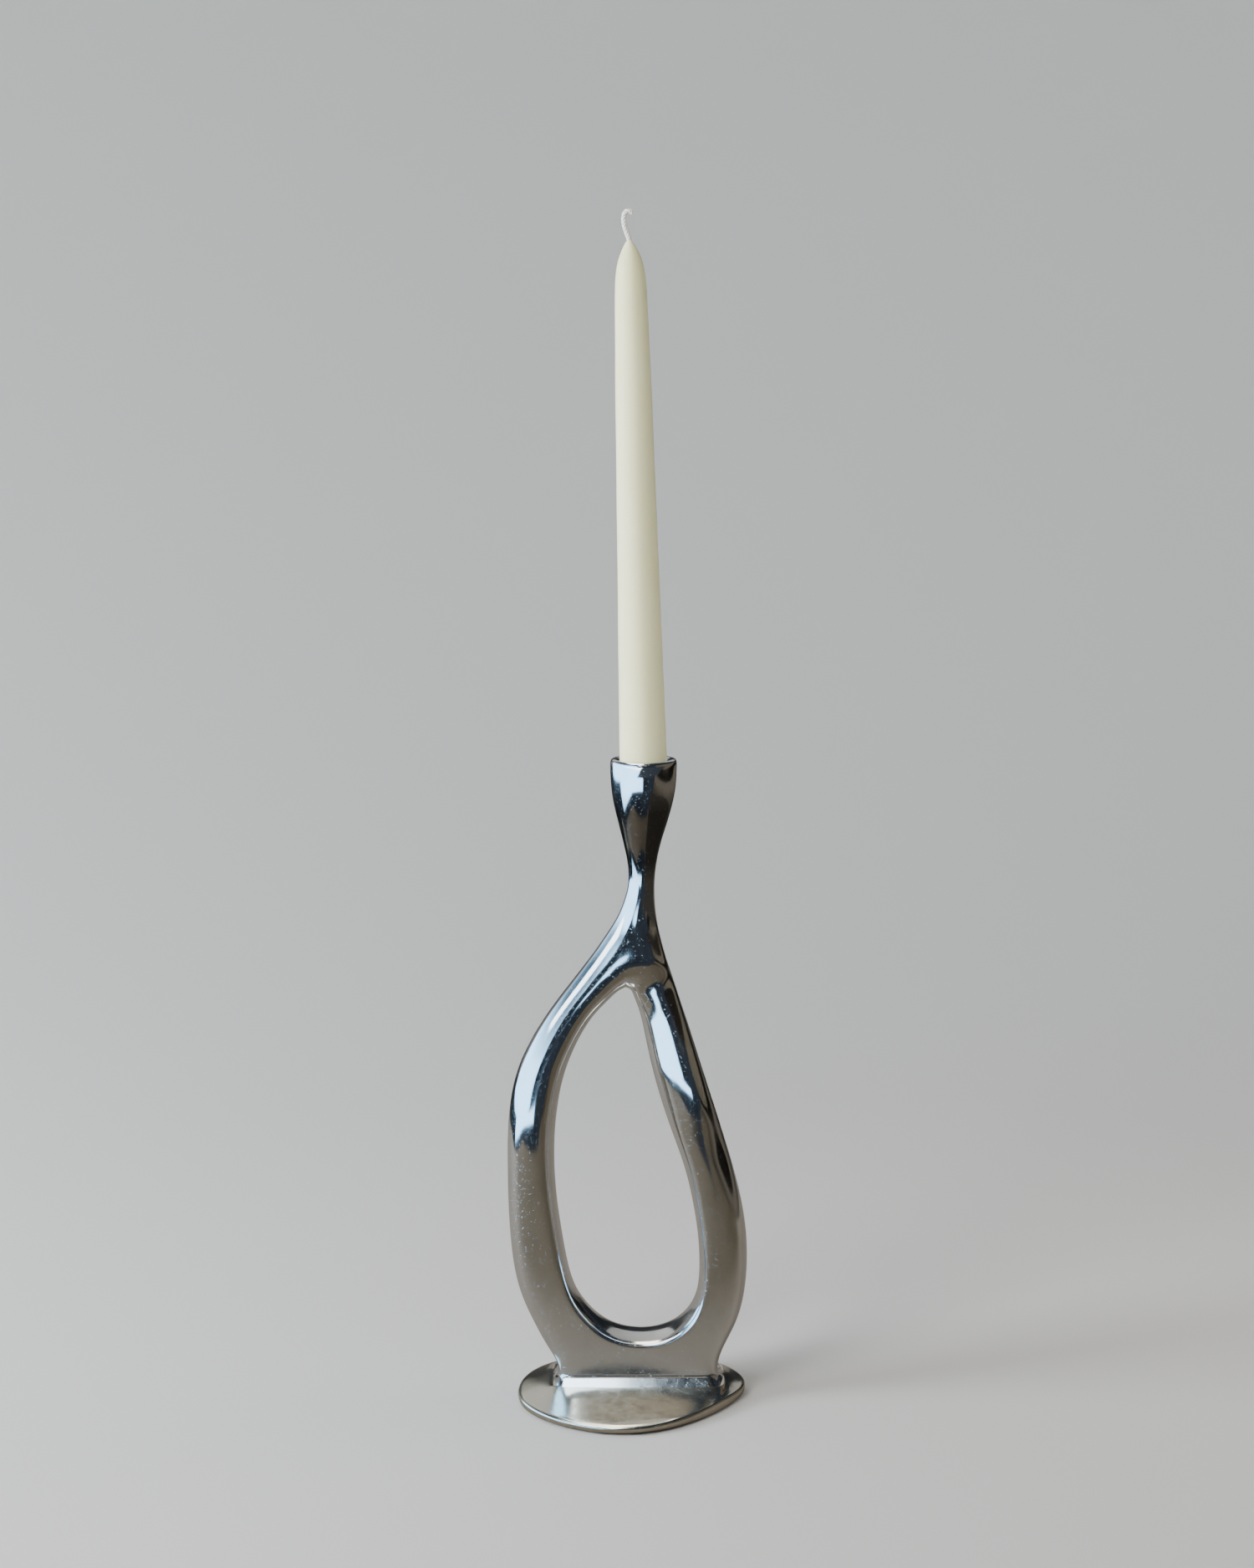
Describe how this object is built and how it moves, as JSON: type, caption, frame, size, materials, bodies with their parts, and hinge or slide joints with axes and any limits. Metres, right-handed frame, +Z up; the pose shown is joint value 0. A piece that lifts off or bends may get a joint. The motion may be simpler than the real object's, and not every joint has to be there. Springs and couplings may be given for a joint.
{
  "type": "candlestick",
  "caption": "Free-standing cast metal candlestick: an open lopsided loop on a domed plate foot, drawn up into a thin neck and flared cup that holds a taper candle.",
  "frame": {"origin": "on the standing plane, the underside of the felt, straight below the axis of the candle cup", "axes": "+Z up along the candle cup's axis, +X to the right seen from the front, -Y out of the front, where the foot's point is"},
  "size_m": [0.1143, 0.0924, 0.5607],
  "materials": {
    "polished_casting": "hand polished, with fine vertical polishing lines",
    "polished_foot": "hand polished, slightly pitted",
    "felt": "dark pressed felt",
    "zinc_steel": "bright zinc plated",
    "wax": "dipped candle wax, satin and slightly translucent",
    "wick": "braided cotton"
  },
  "bodies": {
    "stand": {"loop_casting": "polished_casting", "foot_casting": "polished_foot", "felt_pad": "felt", "fixing_screw_left": "zinc_steel", "fixing_screw_right": "zinc_steel", "spring_washer_left": "zinc_steel", "spring_washer_right": "zinc_steel"},
    "candle": {"candle_wax": "wax", "candle_wick": "wick"}
  },
  "joints": [
    {"name": "candle_lift", "type": "slide", "parent": "stand", "child": "candle", "axis": [-0.027, 0, 0.9996], "range_m": [0, 0.04]}
  ]
}
